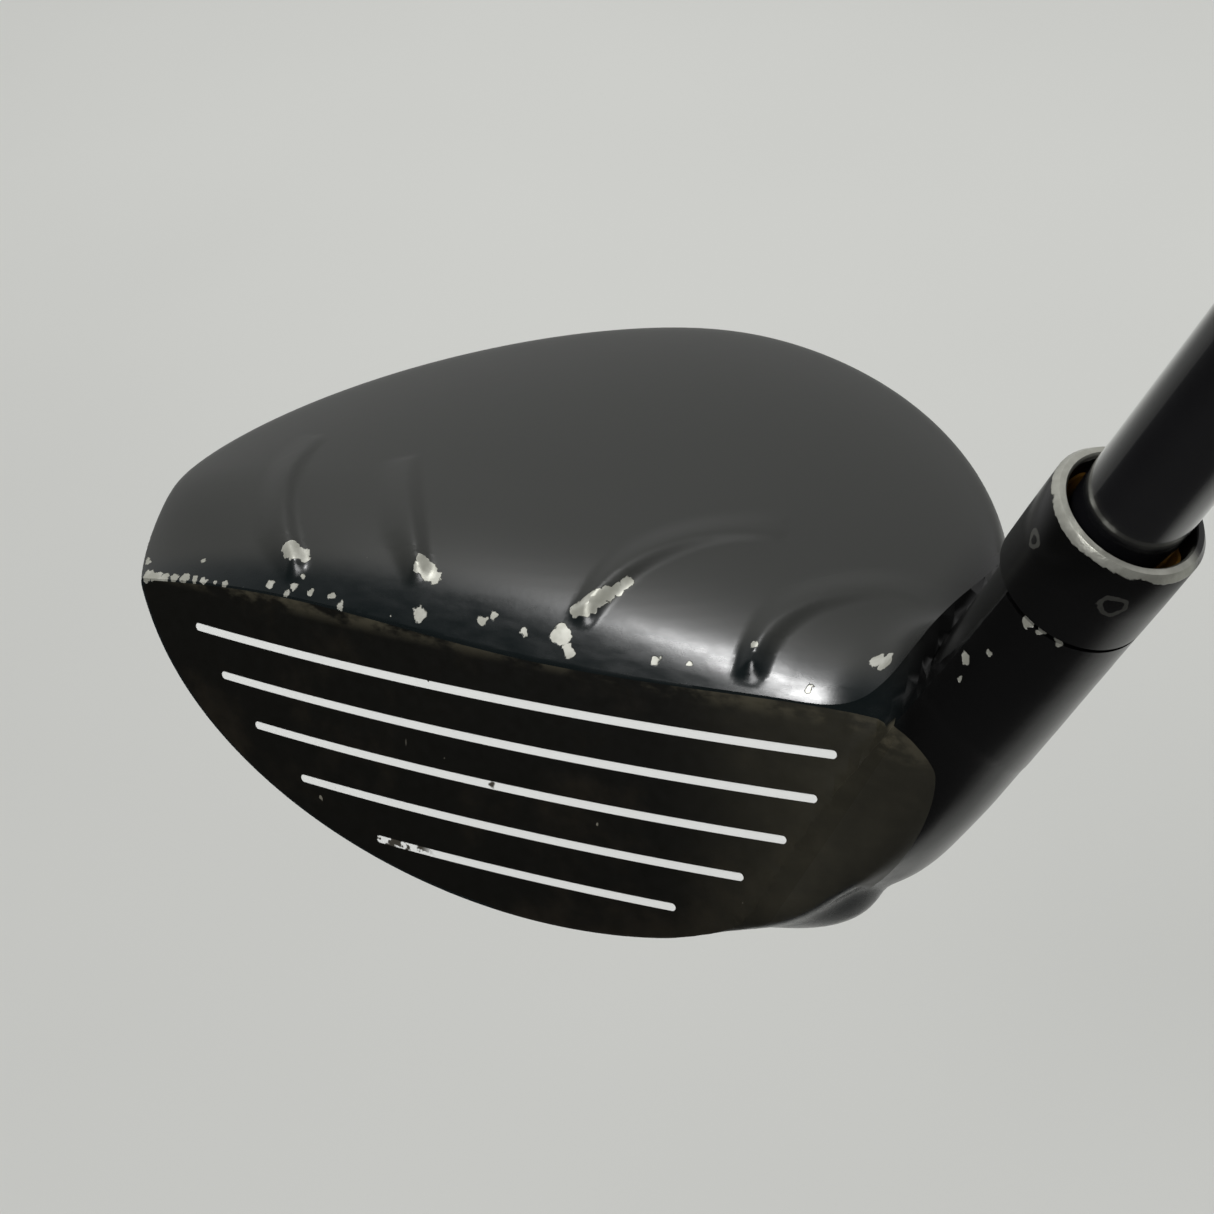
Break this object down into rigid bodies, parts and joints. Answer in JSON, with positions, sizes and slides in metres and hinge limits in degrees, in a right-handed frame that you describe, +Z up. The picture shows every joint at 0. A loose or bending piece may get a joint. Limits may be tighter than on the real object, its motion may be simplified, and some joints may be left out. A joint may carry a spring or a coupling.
{
  "type": "hybrid golf club",
  "caption": "Right-handed hybrid golf club: small hollow head with ridged crown, adjustable loft sleeve held by a screw, tapered shaft and rubber grip.",
  "frame": {"origin": "on the ground plane under the centre of the face, club at address", "axes": "+Z up, -Y the way the face looks, -X towards the toe, +X towards the heel and the shaft's butt"},
  "size_m": [0.6141, 0.0733, 0.8701],
  "materials": {
    "body_paint": "satin black",
    "crown_paint": "matte dark grey",
    "face_finish": "brushed dark finish, worn",
    "line_paint": "white paint",
    "weight_steel": "satin",
    "sleeve_black": "satin black with bare rim",
    "epoxy": "amber",
    "screw_steel": "satin",
    "washer_steel": "satin",
    "retainer_nylon": "natural",
    "shaft_gloss": "clear-coated black",
    "plug_plastic": "plain",
    "tape": "masking tape",
    "grip_rubber": "textured"
  },
  "bodies": {
    "handle": {"shaft": "shaft_gloss", "shaft_tip_plug": "plug_plastic", "adapter_sleeve": "sleeve_black", "sleeve_epoxy": "epoxy", "grip_tape": "tape", "grip": "grip_rubber", "grip_cap": "grip_rubber"},
    "head": {"head_body": "body_paint", "crown_plate": "crown_paint", "face_plate": "face_finish", "score_line_paint": "line_paint", "rear_weight": "weight_steel"},
    "sleeve_screw": {"adapter_screw": "screw_steel", "screw_washer": "washer_steel", "screw_retainer": "retainer_nylon"}
  },
  "joints": [
    {"name": "head_release", "type": "slide", "parent": "handle", "child": "head", "axis": [-0.515, 0, -0.8572], "range_m": [0, 0.03]},
    {"name": "sleeve_screw_turn", "type": "hinge", "parent": "head", "child": "sleeve_screw", "pos_m": [0.0404, 0.0118, 0.017], "axis": [0.515, 0, 0.8572], "continuous": true}
  ]
}
